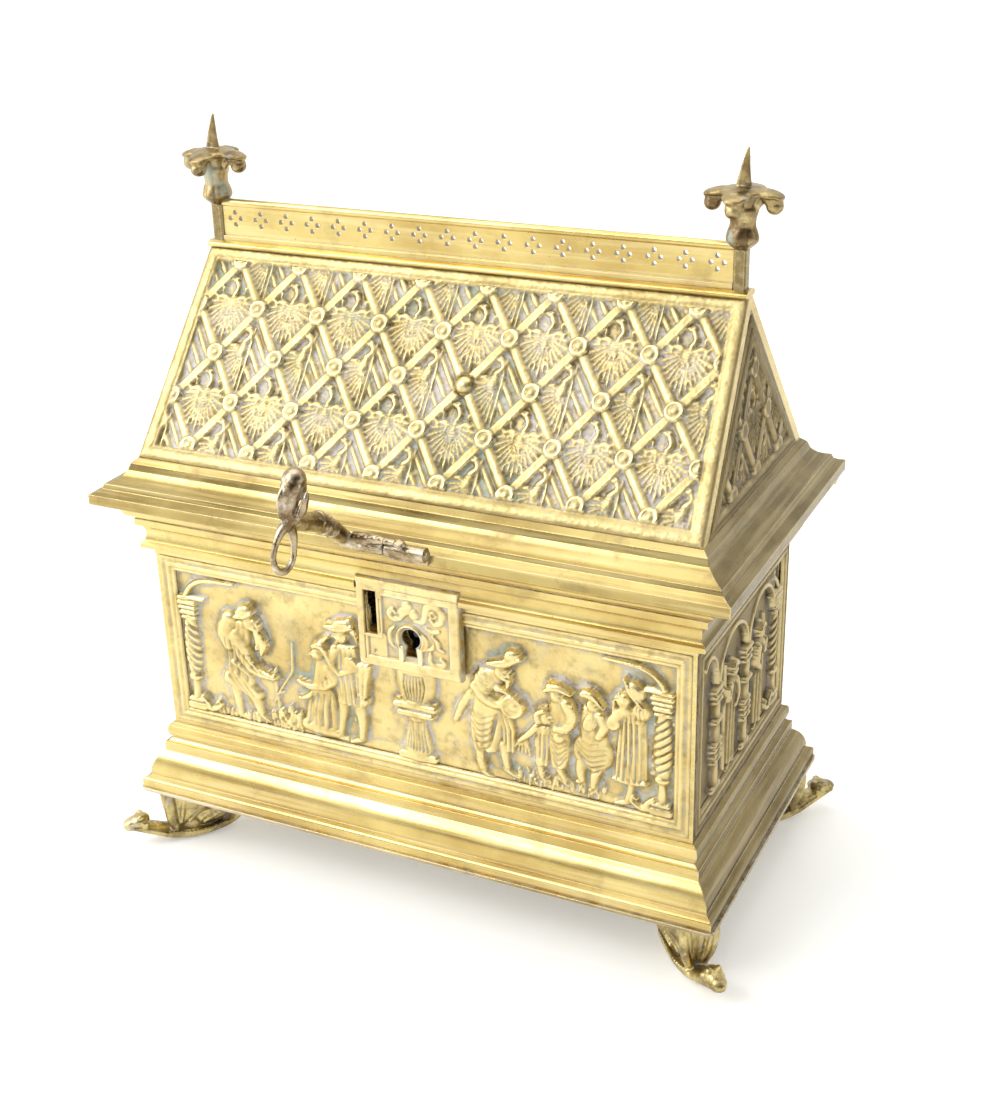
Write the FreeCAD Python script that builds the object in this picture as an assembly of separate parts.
"""Tabernacle box: a cast brass casket with a gabled, hinged lid, a swinging hasp and a case lock.

The case is a rectangle of four relief panels between a plinth and a cornice, both mitred
from four moulded rails. The lid is a second cornice under a steep roof with a pierced ridge rail.
+X runs along the front from left to right, +Y runs from the front to the back and +Z is up.
Heights below are measured from the underside of the base plate. save() lifts every piece by the
height of the feet, so that Z = 0 is the table, under the centre of the case.
"""
import FreeCAD, Part
import math
import os

V = FreeCAD.Vector
X_AXIS = V(1, 0, 0)
Y_AXIS = V(0, 1, 0)
Z_AXIS = V(0, 0, 1)

# --- driving dimensions, mm ---------------------------------------------------------------
half_length = 90.0          # outer face of the side panels
half_depth = 44.0           # outer face of the front and back panels
wall = 4.0                  # thickness of the panels and of every rail inside that face
foot_height = 21.0

# base plate
plate_overhang = 10.2
plate_thickness = 1.0
plate_corner = 2.5
screw_inset = 8.0           # from the panels' outer faces to the screws of the feet
screw_radius = 3.0
screw_height = 1.6

# levels above the underside of the base plate
panel_bottom = 23.0
panel_top = 84.2
case_top = 103.5
lid_bottom = 103.8          # 0.3 clear of the case
roof_bottom = 116.8
roof_top = 173.0
cap_top = 175.0
rail_top = 187.9
collar_top = 190.0
fleuron_top = 203.0
finial_top = 213.7

# relief panels of the case
panel_margin = 6.2          # from the panel's end to its sunk field
field_bottom = 29.6
field_top = 79.0
field_depth = 1.6

# roof
roof_overhang = 1.2         # the foot of the roof stands this far outside the panels
roof_lean = 3.5             # each gable leans in by this much over its height
ridge_half_width = 1.5
roof_thickness = 3.0
roof_frame = 4.2
roof_field_depth = 1.2
stud_x = 10.65              # one plain stud among the rosettes, near the middle
stud_radius = 2.9
stud_height = 2.2

# ridge rail and its posts
post_x = 84.7
post_size = 3.8
rail_half_thickness = 0.9
bead_radius = 1.3
dot_radius = 0.75
dot_ring = 1.9              # from the middle of a group of four holes to each hole
dot_groups = 18
dot_level = 182.0

# lock
lock_left = -16.0
lock_right = 18.5
lock_bottom = 61.5
lock_top = 91.0
lock_face = 3.0             # stands this far in front of the panel
lock_sunk = 0.8             # depth of the field inside the plate's border
slot_left = -13.5
slot_right = -8.9
slot_bottom = 72.3
slot_top = 86.9
key_x = 1.8
key_z = 72.8
key_radius = 3.0
key_bottom = 66.6
lock_case_depth = 10.0
lock_sheet = 1.0
lock_case_bottom = 63.0
lock_case_top = 91.5
lock_case_rivet_levels = (66.0, 88.5)
bolt_level = 83.9
bolt_y = -38.75
bolt_nose_radius = 1.1

# lid hinge
hinge_y = 55.5
hinge_z = 101.3
hinge_radius = 2.3
hinge_pin_radius = 1.0
hinge_half_length = 101.0
knuckles = 9
knuckle_gap = 0.3
leaf_half_length = 96.0
case_leaf_thickness = 1.3
hinge_rivet_pitch = 30.0
hinge_rivet_places = [hinge_rivet_pitch * (index - 2.5) for index in range(6)]
running = 0.06              # radial clearance of a turning knuckle on its pin

# hasp
hasp_y = -59.5
hasp_z = 108.0
hasp_radius = 2.2
hasp_pin_radius = 1.0
hasp_left = -13.4
hasp_seam = 3.0
hasp_right = 15.5
staple_x = -11.2
neck_bend = (-74.2, 118.5)  # (y, z) where the neck turns
neck_end = (-86.0, 124.5)   # (y, z) where the neck meets the head
staple_tilt = 23.0          # degrees the staple points forward of straight down
staple_length = 16.5
staple_width = 5.2
staple_thickness = 3.0
staple_hole_width = 3.0
head_length = 15.4
head_end = 1.2              # the head ends this far below the junction, where the ring starts


# --- helpers ------------------------------------------------------------------------------
def save(name, shape):
    """Lift a piece onto the feet and write it."""
    lifted = shape.copy()
    lifted.translate(V(0, 0, foot_height))
    lifted.exportStep("parts/" + name + ".step")


def block(x0, x1, y0, y1, z0, z1):
    return Part.makeBox(x1 - x0, y1 - y0, z1 - z0, V(x0, y0, z0))


def rod(radius, start, end):
    direction = end.sub(start)
    return Part.makeCylinder(radius, direction.Length, start, direction)


def outline(points):
    """A closed wire through points. An entry that holds two points is an arc: via, then end."""
    edges = []
    here = points[0]
    for entry in list(points[1:]) + [points[0]]:
        if isinstance(entry, list):
            edges.append(Part.Arc(here, entry[0], entry[1]).toShape())
            here = entry[1]
        elif entry.distanceToPoint(here) > 1e-6:
            edges.append(Part.LineSegment(here, entry).toShape())
            here = entry
    return Part.Wire(edges)


def swept(points, direction):
    return Part.Face(outline(points)).extrude(direction)


def turned(shape, degrees):
    """A copy turned about the vertical axis through the middle of the box."""
    copy = shape.copy()
    copy.rotate(V(0, 0, 0), Z_AXIS, degrees)
    return copy


def mirrored(shape, normal):
    return shape.mirror(V(0, 0, 0), normal)


def mitre(run, reach, bottom, top):
    """The share of the box that one side's pieces may fill, cut at 45 degrees at both corners."""
    out = 20.0
    inside = wall + 8.0
    corners = [
        V(-run - out, -reach - out, bottom),
        V(run + out, -reach - out, bottom),
        V(run - inside, -reach + inside, bottom),
        V(-run + inside, -reach + inside, bottom),
    ]
    return swept(corners, V(0, 0, top - bottom))


def front_rail(profile, run, reach):
    """A rail along the front. The profile holds (offset outside the panel, level) points."""
    length = run + 30.0

    def place(point):
        return V(-length, -reach - point[0], point[1])

    points = [[place(p) for p in entry] if isinstance(entry, list) else place(entry) for entry in profile]
    bar = swept(points, V(2 * length, 0, 0))
    return bar.common(mitre(run, reach, -5.0, roof_top))


def four_sides(make):
    """Front, right, back and left pieces from one function of (run, reach)."""
    along = make(half_length, half_depth)
    across = make(half_depth, half_length)
    return {
        "front": along,
        "right": turned(across, 90),
        "back": turned(along, 180),
        "left": turned(across, -90),
    }


# --- mouldings ----------------------------------------------------------------------------
plinth_profile = [
    (-wall, plate_thickness),
    (9.3, plate_thickness),
    (9.3, 3.0),
    [(9.1, 3.7), (8.5, 4.2)],
    (7.1, 4.9),
    (7.1, 6.0),
    [(6.1, 9.6), (3.5, 12.6)],
    (3.1, 13.0),
    (3.1, 16.2),
    [(1.7, 16.9), (1.1, 18.1)],
    (1.8, 18.5),
    [(2.1, 20.3), (1.8, 22.1)],
    (0.3, panel_bottom),
    (-wall, panel_bottom),
]

case_cornice_profile = [
    (-wall, panel_top),
    (0.2, panel_top),
    [(0.6, 86.0), (1.9, 86.8)],
    (3.2, 86.9),
    (3.2, 88.4),
    (2.3, 89.2),
    [(1.6, 91.9), (2.6, 94.4)],
    (3.9, 94.8),
    (3.9, 96.9),
    (3.3, 97.3),
    [(5.0, 98.0), (6.1, 99.3)],
    [(6.9, 100.7), (8.0, 101.6)],
    (8.0, case_top),
    (-wall, case_top),
]

lid_cornice_profile = [
    (-wall, lid_bottom),
    (13.0, lid_bottom),
    (13.0, 107.0),
    (11.3, 107.6),
    (9.9, 108.4),
    (9.3, 109.8),
    [(6.4, 110.9), (3.9, 113.2)],
    (3.1, 115.3),
    (1.3, roof_bottom),
    (-wall, roof_bottom),
]


# --- case ---------------------------------------------------------------------------------
def base_plate():
    x = half_length + plate_overhang
    y = half_depth + plate_overhang
    plate = block(-x, x, -y, y, 0, plate_thickness)
    upright = [e for e in plate.Edges if abs(e.tangentAt(e.FirstParameter).z) > 0.9]
    return plate.makeFillet(plate_corner, upright)


def panel(run, reach):
    """A relief panel: a mitred slab with a sunk field inside a stepped frame."""
    slab = block(-run - 1, run + 1, -reach, -reach + wall, panel_bottom, panel_top)
    slab = slab.common(mitre(run, reach, 0, roof_top))
    edge = run - panel_margin
    field = block(-edge, edge, -reach - 1, -reach + field_depth, field_bottom, field_top)
    step = 1.3
    rim = block(-edge - step, edge + step, -reach - 1, -reach + 0.6, field_bottom - step, field_top + step)
    return slab.cut(field).cut(rim)


def lock_seat():
    """The space that the lock plate takes from the cornice rail behind its upper edge."""
    return block(lock_left, lock_right, -half_depth - 20, -half_depth, panel_top, lock_top)


def hasp_slot():
    return block(slot_left, slot_right, -half_depth - 20, -half_depth + wall + 1, slot_bottom, slot_top)


def key_hole():
    front = -half_depth - 20
    deep = V(0, 20 + wall + 1, 0)
    barrel = Part.makeCylinder(key_radius, deep.Length, V(key_x, front, key_z), Y_AXIS)
    skirt = swept(
        [
            V(key_x - 1.3, front, key_z),
            V(key_x + 1.3, front, key_z),
            V(key_x + 2.0, front, key_bottom),
            V(key_x - 2.0, front, key_bottom),
        ],
        deep,
    )
    return barrel.fuse(skirt)


def lock_plate():
    """A raised plate with a bevelled border, pierced for the staple and the key."""
    back = -half_depth
    front = back - lock_face
    corner = 3.0
    plate = swept(
        [
            V(lock_left, back, lock_top),
            V(lock_right, back, lock_top),
            V(lock_right, back, lock_bottom),
            V(lock_left + corner, back, lock_bottom),
            [V(lock_left + 0.9, back, lock_bottom + 0.9), V(lock_left, back, lock_bottom + corner)],
        ],
        V(0, -lock_face, 0),
    )
    border = 3.6
    left = slot_right + 1.2
    right = lock_right - border
    low = lock_bottom + border
    high = lock_top - 2.2
    field = block(left, right, front - 1, front + lock_sunk, low, high)
    boss = Part.makeCylinder(key_radius + 1.8, lock_sunk, V(key_x, front, key_z), Y_AXIS)
    return plate.cut(field).fuse(boss).removeSplitter()


def lock_case():
    """A shallow steel box on the inside of the front panel, open towards the panel."""
    front = -half_depth + wall
    back = front + lock_case_depth
    left = lock_left + 0.5
    right = lock_right - 0.5
    bottom = lock_case_bottom
    top = lock_case_top
    sheet = lock_sheet
    outer = block(left, right, front, back, bottom, top)
    inner = block(left + sheet, right - sheet, front - 1, back - sheet, bottom + sheet, top - sheet)
    return outer.cut(inner)


def bolt_guides():
    """A lug that the bolt's nose runs through, and two ledges for the body of the bolt."""
    back = -half_depth + wall + lock_case_depth - lock_sheet
    front = bolt_y - 1.0
    lug = block(-8.4, -6.3, front, back, bolt_level - 3.0, bolt_level + 3.0)
    lug = lug.cut(rod(bolt_nose_radius + running, V(-9, bolt_y, bolt_level), V(-5, bolt_y, bolt_level)))
    above = block(2.0, 12.0, front, back, bolt_level + 3.2, bolt_level + 4.6)
    below = block(10.4, 14.5, front, back, bolt_level - 5.2, bolt_level - 3.2)
    return Part.makeCompound([lug, above, below])


def lock_bolt():
    """A flat bolt with a round nose and a tail that the key's bit pushes."""
    nose = rod(bolt_nose_radius, V(slot_right + 1.3, bolt_y, bolt_level), V(4.0, bolt_y, bolt_level))
    body = block(0.5, 15.0, bolt_y - 0.9, bolt_y + 0.9, bolt_level - 3.0, bolt_level + 3.0)
    tail = block(7.5, 9.9, bolt_y - 0.9, bolt_y + 0.9, bolt_level - 9.5, bolt_level)
    return body.fuse([nose, tail]).removeSplitter()


def lock_spring():
    """A bent leaf that bears on the bolt from behind."""
    back = -half_depth + wall + lock_case_depth - lock_sheet
    touch = bolt_y + 1.0
    half = 0.2
    y_mid = (back + touch) / 2
    points = [
        V(3.0, back, bolt_level - 1.5),
        V(5.0, back, bolt_level - 1.5),
        V(9.0, touch + 2 * half, bolt_level - 1.5),
        V(11.0, touch + 2 * half, bolt_level - 1.5),
        V(11.0, touch, bolt_level - 1.5),
        V(8.6, touch, bolt_level - 1.5),
        V(4.6, y_mid + 2.0, bolt_level - 1.5),
        V(3.0, y_mid + 2.0, bolt_level - 1.5),
    ]
    return swept(points, V(0, 0, 3.0))


def key_pin():
    """The pin that a hollow key turns on."""
    back = -half_depth + wall + lock_case_depth - lock_sheet
    return rod(1.0, V(key_x, -half_depth + 1.5, key_z), V(key_x, back, key_z))


def lock_case_rivets():
    """The round inner heads of the four rivets that hold the lock case."""
    heads = []
    back = -half_depth + wall + lock_case_depth
    for x in (lock_left + 3.0, lock_right - 3.0):
        for z in lock_case_rivet_levels:
            heads.append(rivet(V(x, back, z), Y_AXIS, 1.4, 0.8))
    return Part.makeCompound(heads)


def rivet(seat, outward, radius, height):
    """A low domed head that stands on a surface."""
    ball_radius = (radius * radius + height * height) / (2 * height)
    centre = seat.sub(V(outward).multiply(ball_radius - height))
    ball = Part.makeSphere(ball_radius, centre)
    keep = Part.makeCylinder(radius * 2, height * 2, seat, outward)
    return ball.common(keep)


# --- feet ---------------------------------------------------------------------------------
def foot_outline(points, half_width):
    """A slab from (distance outside the plate's corner, level) points, centred on the foot."""
    def place(point):
        return V(point[0], -half_width, point[1])

    placed = [[place(p) for p in entry] if isinstance(entry, list) else place(entry) for entry in points]
    return swept(placed, V(0, 2 * half_width, 0))


def foot():
    """A scroll foot: a curved sole that ends in an upturned toe, under a leaf-shaped post."""
    low = -foot_height
    sole = foot_outline(
        [
            (3.6, -14.2),
            [(-7.5, -19.6), (-14.0, low)],
            (-22.0, low),
            [(-28.5, low + 1.0), (-34.0, low + 3.6)],
            (-33.0, low + 6.2),
            [(-28.0, low + 3.9), (-21.5, low + 3.0)],
            (-14.5, low + 3.2),
            [(-7.0, -16.4), (-0.6, -12.2)],
        ],
        3.4,
    )
    post = foot_outline(
        [
            (-3.0, 0),
            [(-5.6, -7.0), (-5.4, -15.8)],
            (-11.5, -18.0),
            [(-13.0, -13.5), (-16.5, -12.0)],
            [(-22.0, -13.0), (-25.0, -18.2)],
            (-33.5, -16.0),
            [(-34.8, -7.0), (-31.0, 0)],
        ],
        2.6,
    )
    toe = Part.makeCylinder(3.1, 7.4, V(1.6, -3.7, -11.3), Y_AXIS)
    whole = sole.fuse([post, toe]).removeSplitter()
    whole.rotate(V(0, 0, 0), Z_AXIS, -45)
    whole.translate(V(half_length + plate_overhang, -half_depth - plate_overhang, 0))
    return whole


def foot_screws():
    """One screw head above the plate for each foot."""
    heads = []
    for sx in (-1, 1):
        for sy in (-1, 1):
            seat = V(sx * (half_length - screw_inset), sy * (half_depth - screw_inset), plate_thickness)
            head = rivet(seat, Z_AXIS, screw_radius, screw_height)
            slot = block(seat.x - 4, seat.x + 4, seat.y - 0.35, seat.y + 0.35, seat.z + 0.9, seat.z + 3)
            heads.append(head.cut(slot))
    return Part.makeCompound(heads)


# --- roof ---------------------------------------------------------------------------------
foot_x = half_length + roof_overhang
foot_y = half_depth + roof_overhang
top_x = foot_x - roof_lean
roof_height = roof_top - roof_bottom
slope_run = foot_y - ridge_half_width
slope_length = math.hypot(slope_run, roof_height)
slope_up = V(0, slope_run / slope_length, roof_height / slope_length)
slope_out = V(0, -slope_up.z, slope_up.y)
inner_foot_y = foot_y - roof_thickness * slope_length / roof_height
inner_apex = roof_bottom + inner_foot_y * roof_height / slope_run


def between_gables():
    """Everything between the outer faces of the two leaning gables."""
    return swept(
        [
            V(-foot_x, -80, roof_bottom),
            V(foot_x, -80, roof_bottom),
            V(top_x, -80, roof_top),
            V(-top_x, -80, roof_top),
        ],
        V(0, 160, 0),
    )


def roof_field():
    """The sunk field of the front slope, inside its frame."""
    start = V(0, -foot_y, roof_bottom)
    low = start.add(V(slope_up).multiply(roof_frame))
    high = start.add(V(slope_up).multiply(slope_length - roof_frame))
    lift = V(slope_out).multiply(0.5)
    edge_x = foot_x - roof_frame
    edge_top_x = top_x - roof_frame
    corners = [
        V(-edge_x, low.y, low.z),
        V(edge_x, low.y, low.z),
        V(edge_top_x, high.y, high.z),
        V(-edge_top_x, high.y, high.z),
    ]
    return swept([c.add(lift) for c in corners], V(slope_out).multiply(-roof_field_depth - 0.5))


def roof_front():
    """The front slope, with its sunk field."""
    section = [
        V(-120, -foot_y, roof_bottom),
        V(-120, -ridge_half_width, roof_top),
        V(-120, 0, roof_top),
        V(-120, 0, inner_apex),
        V(-120, -inner_foot_y, roof_bottom),
    ]
    slab = swept(section, V(240, 0, 0)).common(between_gables())
    return slab.cut(roof_field())


def gable_right():
    """The right gable, which fits between the two slopes."""
    under_slopes = swept(
        [V(0, -inner_foot_y, roof_bottom), V(0, inner_foot_y, roof_bottom), V(0, 0, inner_apex)],
        V(120, 0, 0),
    )
    leaning = swept(
        [
            V(foot_x, -80, roof_bottom),
            V(foot_x - roof_thickness, -80, roof_bottom),
            V(top_x - roof_thickness, -80, roof_top),
            V(top_x, -80, roof_top),
        ],
        V(0, 160, 0),
    )
    sunk = swept(
        [
            V(50, -inner_foot_y + 7.0, roof_bottom + roof_frame),
            V(50, inner_foot_y - 7.0, roof_bottom + roof_frame),
            V(50, 0, inner_apex - 9.0),
        ],
        V(60, 0, 0),
    )
    skin = leaning.copy()
    skin.translate(V(-roof_field_depth, 0, 0))
    field = sunk.cut(skin).cut(block(0, foot_x - roof_thickness - roof_lean, -80, 80, 0, roof_top))
    return leaning.common(under_slopes).cut(field)


def roof_stud():
    """A plain domed stud that stands in for one rosette of the roof."""
    level = roof_frame + (slope_length - 2 * roof_frame) / 2
    seat = V(stud_x, -foot_y, roof_bottom).add(V(slope_up).multiply(level))
    floor = seat.sub(V(slope_out).multiply(roof_field_depth))
    return rivet(floor, slope_out, stud_radius, stud_height)


def ridge_cap():
    """A bar along the ridge with a bead under each side and a flat seat for the rail."""
    z = roof_top
    profile = [
        V(-top_x, -1.5, z),
        V(-top_x, -2.9, z),
        [V(-top_x, -3.7, z + 0.8), V(-top_x, -2.9, z + 1.6)],
        V(-top_x, -2.1, cap_top),
        V(-top_x, 2.1, cap_top),
        V(-top_x, 2.9, z + 1.6),
        [V(-top_x, 3.7, z + 0.8), V(-top_x, 2.9, z)],
        V(-top_x, 1.5, z),
    ]
    bar = swept(profile, V(2 * top_x, 0, 0))
    for x in (-post_x, post_x):
        bar = bar.cut(post_shaft(x))
    return bar


def post_shaft(x):
    half = post_size / 2
    return block(x - half, x + half, -half, half, roof_top, 186.0)


def ridge_post(x):
    """A chamfered square post with a spreading collar."""
    half = post_size / 2
    shaft = post_shaft(x)
    upright = [e for e in shaft.Edges if abs(e.tangentAt(e.FirstParameter).z) > 0.9]
    shaft = shaft.makeChamfer(0.6, upright)
    collar_low = square_ring(x, half - 0.2, 186.0)
    collar_wide = square_ring(x, half + 1.3, 188.0)
    collar_high = square_ring(x, half + 0.9, collar_top)
    collar = Part.makeLoft([collar_low, collar_wide, collar_high], True, True)
    return shaft.fuse(collar)


def square_ring(x, half, z):
    """An eight-sided ring: a square with cut corners."""
    cut = half * 0.5
    points = [
        V(x - half, -cut, z),
        V(x - cut, -half, z),
        V(x + cut, -half, z),
        V(x + half, -cut, z),
        V(x + half, cut, z),
        V(x + cut, half, z),
        V(x - cut, half, z),
        V(x - half, cut, z),
    ]
    return Part.makePolygon(points + [points[0]])


def ridge_rail():
    """A thin plate along the ridge, pierced by groups of four holes, with a bead along its top."""
    end = post_x - post_size / 2
    half = rail_half_thickness
    plate = block(-end, end, -half, half, cap_top, rail_top - bead_radius)
    foot_bead = block(-end, end, -half - 0.7, half + 0.7, cap_top, cap_top + 1.5)
    bead = rod(bead_radius, V(-end, 0, rail_top - bead_radius), V(end, 0, rail_top - bead_radius))
    holes = []
    pitch = 2 * end / dot_groups
    for group in range(dot_groups):
        middle = -end + pitch * (group + 0.5)
        for dx, dz in ((-1, 0), (1, 0), (0, -1), (0, 1)):
            spot = V(middle + dx * dot_ring, -3, dot_level + dz * dot_ring)
            holes.append(Part.makeCylinder(dot_radius, 6, spot, Y_AXIS))
    rail = plate.fuse([foot_bead, bead]).cut(Part.makeCompound(holes))
    return rail.cut(ridge_post(-post_x)).cut(ridge_post(post_x))


def finial(x):
    """An eight-sided neck under a four-lobed flower with hanging knobs and a curved spike."""
    neck_wide = square_ring(x, 2.6, collar_top)
    neck_thin = square_ring(x, 2.0, 193.0)
    neck_mid = square_ring(x, 2.9, 195.5)
    neck_top = square_ring(x, 2.2, 199.0)
    neck = Part.makeLoft([neck_wide, neck_thin, neck_mid, neck_top], True, True)
    flower = Part.makeCone(2.2, 6.4, 3.4, V(x, 0, 198.2))
    rim = Part.makeCylinder(6.4, fleuron_top - 201.6, V(x, 0, 201.6))
    pieces = [flower, rim]
    for dx, dy in ((1, 0), (-1, 0), (0, 1), (0, -1)):
        lobe = V(x + dx * 7.6, dy * 7.6, 0)
        pieces.append(Part.makeCylinder(3.6, 1.2, V(lobe.x, lobe.y, 201.7)))
        pieces.append(Part.makeSphere(2.3, V(x + dx * 8.6, dy * 8.6, 198.6)))
        pieces.append(Part.makeCylinder(1.4, 3.0, V(x + dx * 8.4, dy * 8.4, 199.2)))
    spike = Part.makeCone(2.2, 0.35, finial_top - fleuron_top, V(x, 0, fleuron_top))
    return neck.fuse(pieces + [spike]).removeSplitter()


# --- lid hinge ----------------------------------------------------------------------------
def knuckle_spans(first):
    """The (left, right) ends of every second knuckle, starting with the given one."""
    pitch = 2 * hinge_half_length / knuckles
    spans = []
    for index in range(first, knuckles, 2):
        left = -hinge_half_length + index * pitch
        spans.append((left + knuckle_gap / 2, left + pitch - knuckle_gap / 2))
    return spans


case_leaf_y = half_depth + 6.0
lid_leaf_z = lid_bottom + 1.2


def case_leaf_seat():
    """The rebate in the back cornice rail that takes the case leaf."""
    return block(-hinge_half_length, hinge_half_length, case_leaf_y, half_depth + 20, 97.0, case_top + 1)


def lid_leaf_seat():
    """The rebate under the back rail of the lid that takes the lid leaf."""
    return block(-97, 97, half_depth + 1, half_depth + 20, lid_bottom - 1, lid_leaf_z)


def hinge_case_leaf():
    half = leaf_half_length
    leaf = block(-half, half, case_leaf_y, case_leaf_y + case_leaf_thickness, 97.2, case_top - 0.2)
    pieces = []
    for left, right in knuckle_spans(0):
        pieces.append(rod(hinge_radius, V(left, hinge_y, hinge_z), V(right, hinge_y, hinge_z)))
        start = max(left, -leaf_half_length)
        end = min(right, leaf_half_length)
        pieces.append(block(start, end, case_leaf_y + 1, hinge_y, hinge_z - 1.2, hinge_z + 0.6))
    bore = rod(hinge_pin_radius, V(-110, hinge_y, hinge_z), V(110, hinge_y, hinge_z))
    return leaf.fuse(pieces).cut(bore)


def hinge_lid_leaf():
    half = leaf_half_length
    leaf = block(-half, half, half_depth + 1.5, half_depth + 13.0, lid_bottom, lid_leaf_z)
    pieces = []
    for left, right in knuckle_spans(1):
        pieces.append(rod(hinge_radius, V(left, hinge_y, hinge_z), V(right, hinge_y, hinge_z)))
        pieces.append(block(left, right, hinge_y - 0.9, hinge_y + 0.9, hinge_z, lid_leaf_z))
    bore_radius = hinge_pin_radius + running
    bore = rod(bore_radius, V(-110, hinge_y, hinge_z), V(110, hinge_y, hinge_z))
    return leaf.fuse(pieces).cut(bore)


def hinge_pin():
    end = V(hinge_half_length, hinge_y, hinge_z)
    return rod(hinge_pin_radius, V(-end.x, end.y, end.z), end)


def hinge_rivets_case():
    heads = []
    for x in hinge_rivet_places:
        seat = V(x, case_leaf_y + case_leaf_thickness, 98.6)
        heads.append(rivet(seat, Y_AXIS, 0.9, 0.5))
    return Part.makeCompound(heads)


def hinge_rivets_lid():
    """Rivet shanks that tie the lid leaf to the rail above it, flush below."""
    shanks = []
    y = half_depth + 4.5
    for x in hinge_rivet_places:
        shanks.append(rod(0.8, V(x, y, lid_bottom), V(x, y, lid_leaf_z + 2.0)))
    return Part.makeCompound(shanks)


# --- hasp ---------------------------------------------------------------------------------
neck_point = V(staple_x, neck_end[0], neck_end[1])
staple_down = V(0, -math.sin(math.radians(staple_tilt)), -math.cos(math.radians(staple_tilt)))


def along_staple(distance):
    """A point below (+) or above (-) the junction of neck and head."""
    return neck_point.add(V(staple_down).multiply(distance))


def hasp_bracket():
    """The fixed half of the hasp's hinge: a plate on the lip of the lid and one knuckle."""
    lip = -half_depth - 13.0
    left = hasp_seam + 0.3
    plate = block(left, hasp_right, lip - 1.6, lip, 104.4, hasp_z)
    knuckle = rod(hasp_radius, V(left, hasp_y, hasp_z), V(hasp_right, hasp_y, hasp_z))
    bore = rod(hasp_pin_radius, V(-30, hasp_y, hasp_z), V(30, hasp_y, hasp_z))
    return plate.fuse(knuckle).cut(bore).removeSplitter()


def hasp_bracket_rivets():
    lip = -half_depth - 13.0
    return Part.makeCompound([rivet(V(x, lip - 1.6, 105.3), V(0, -1, 0), 0.65, 0.35) for x in (5.5, 13.0)])


def hasp_pin():
    return rod(hasp_pin_radius, V(hasp_left, hasp_y, hasp_z), V(hasp_right + 0.7, hasp_y, hasp_z))


def hasp_arm():
    """The moving knuckle with a long-backed beast along its top, and the neck."""
    knuckle = rod(hasp_radius, V(hasp_left, hasp_y, hasp_z), V(hasp_seam, hasp_y, hasp_z))
    shoulder = V(hasp_left + 2.2, hasp_y - 1.2, hasp_z + 2.0)
    rump = V(hasp_seam - 1.0, hasp_y - 1.2, hasp_z + 1.6)
    back = rod(1.7, shoulder, rump)
    root = V(staple_x, hasp_y - 0.5, hasp_z + 1.5)
    bend = V(staple_x, neck_bend[0], neck_bend[1])
    lower = rod(1.8, root, bend)
    upper = rod(1.7, bend, neck_point)
    elbow = Part.makeSphere(2.1, bend)
    bore = rod(hasp_pin_radius + running, V(-40, hasp_y, hasp_z), V(30, hasp_y, hasp_z))
    whole = knuckle.fuse([back, lower, upper, elbow]).cut(bore)
    return whole.cut(hasp_head()).cut(hasp_staple()).removeSplitter()


def hasp_staple():
    """A flat ring below the head. The lock's bolt passes through its long hole."""
    half = staple_thickness / 2
    side = V(0, staple_down.z, -staple_down.y)
    wide = staple_width / 2
    slim = staple_hole_width / 2
    round_centre = staple_length - wide
    hole_high = 8.0
    hole_low = staple_length - 1.2 - slim

    def spot(distance, across):
        point = along_staple(distance).add(V(side).multiply(across))
        return V(staple_x - half, point.y, point.z)

    ring = swept(
        [
            spot(head_end, -wide),
            spot(round_centre, -wide),
            [spot(staple_length, 0), spot(round_centre, wide)],
            spot(head_end, wide),
        ],
        V(staple_thickness, 0, 0),
    )
    hole = swept(
        [
            spot(hole_high, -slim),
            spot(hole_low, -slim),
            [spot(hole_low + slim, 0), spot(hole_low, slim)],
            spot(hole_high, slim),
            [spot(hole_high - slim, 0), spot(hole_high, -slim)],
        ],
        V(staple_thickness, 0, 0),
    )
    return ring.cut(hole)


def hasp_head():
    """The beast's bulbous head with one ear, above the ring that it grips."""
    core = Part.makeSphere(3.3, along_staple(-head_length + 3.3))
    jaw = Part.makeSphere(2.7, along_staple(-head_length + 7.6))
    throat = rod(2.2, along_staple(head_end), along_staple(-head_length + 6.0))
    ear = Part.makeSphere(1.4, along_staple(-6.6).add(V(2.6, 1.2, 0)))
    return core.fuse([jaw, throat, ear]).removeSplitter()


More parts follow.
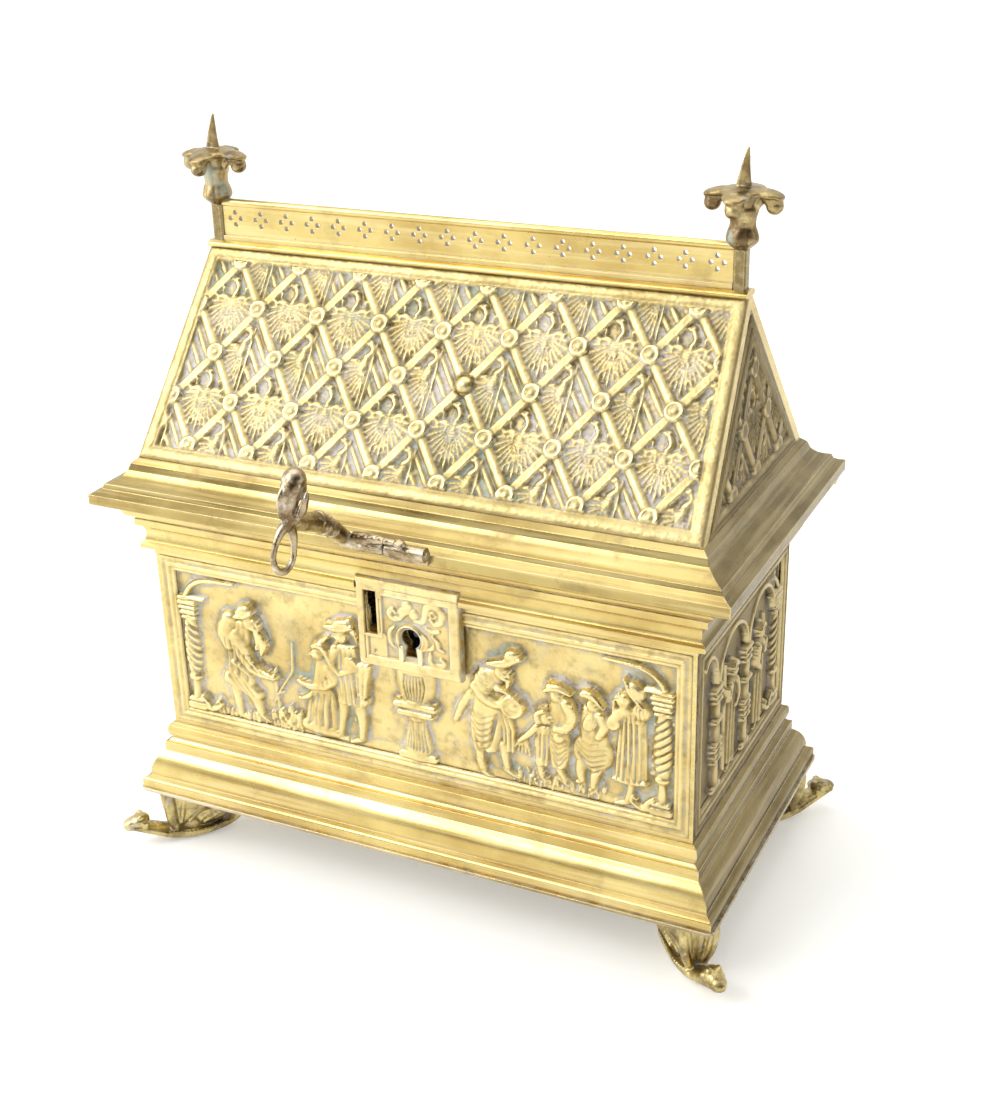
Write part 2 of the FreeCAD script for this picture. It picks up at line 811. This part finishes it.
# --- write every piece --------------------------------------------------------------------
def write_case():
    save("base_plate", base_plate())
    sides = four_sides(lambda run, reach: front_rail(plinth_profile, run, reach))
    for side, rail in sides.items():
        save("plinth_" + side, rail)
    panels = four_sides(panel)
    openings = hasp_slot().fuse(key_hole())
    panels["front"] = panels["front"].cut(openings)
    for side, wall_panel in panels.items():
        save("panel_" + side, wall_panel)
    cornice = four_sides(lambda run, reach: front_rail(case_cornice_profile, run, reach))
    cornice["front"] = cornice["front"].cut(lock_seat()).cut(hasp_slot())
    cornice["back"] = cornice["back"].cut(case_leaf_seat())
    for side, rail in cornice.items():
        save("case_cornice_" + side, rail)
    save("lock_plate", lock_plate().cut(openings))
    save("lock_case", lock_case())
    save("lock_case_rivets", lock_case_rivets())
    save("bolt_guides", bolt_guides())
    save("lock_bolt", lock_bolt())
    save("lock_spring", lock_spring())
    save("key_pin", key_pin())
    front_right = foot()
    save("foot_front_right", front_right)
    save("foot_front_left", mirrored(front_right, X_AXIS))
    save("foot_back_right", mirrored(front_right, Y_AXIS))
    save("foot_back_left", mirrored(mirrored(front_right, X_AXIS), Y_AXIS))
    save("foot_screws", foot_screws())
    save("hinge_case_leaf", hinge_case_leaf())
    save("hinge_pin", hinge_pin())
    save("hinge_case_rivets", hinge_rivets_case())


def write_lid():
    cornice = four_sides(lambda run, reach: front_rail(lid_cornice_profile, run, reach))
    cornice["back"] = cornice["back"].cut(lid_leaf_seat()).cut(hinge_rivets_lid())
    for side in ("left", "right"):
        cornice[side] = cornice[side].cut(lid_leaf_seat())
    for side, rail in cornice.items():
        save("lid_cornice_" + side, rail)
    front = roof_front()
    save("roof_front", front)
    save("roof_back", turned(front, 180))
    right = gable_right()
    save("gable_right", right)
    save("gable_left", turned(right, 180))
    save("roof_stud", roof_stud())
    save("ridge_cap", ridge_cap())
    save("ridge_rail", ridge_rail())
    for side, x in (("left", -post_x), ("right", post_x)):
        save("ridge_post_" + side, ridge_post(x))
        save("finial_" + side, finial(x))
    save("hinge_lid_leaf", hinge_lid_leaf().cut(hinge_rivets_lid()))
    save("hinge_lid_rivets", hinge_rivets_lid())
    save("hasp_bracket", hasp_bracket())
    save("hasp_bracket_rivets", hasp_bracket_rivets())
    save("hasp_pin", hasp_pin())


def write_hasp():
    save("hasp_arm", hasp_arm())
    save("hasp_staple", hasp_staple())
    save("hasp_head", hasp_head())


os.makedirs("parts", exist_ok=True)
write_case()
write_lid()
write_hasp()
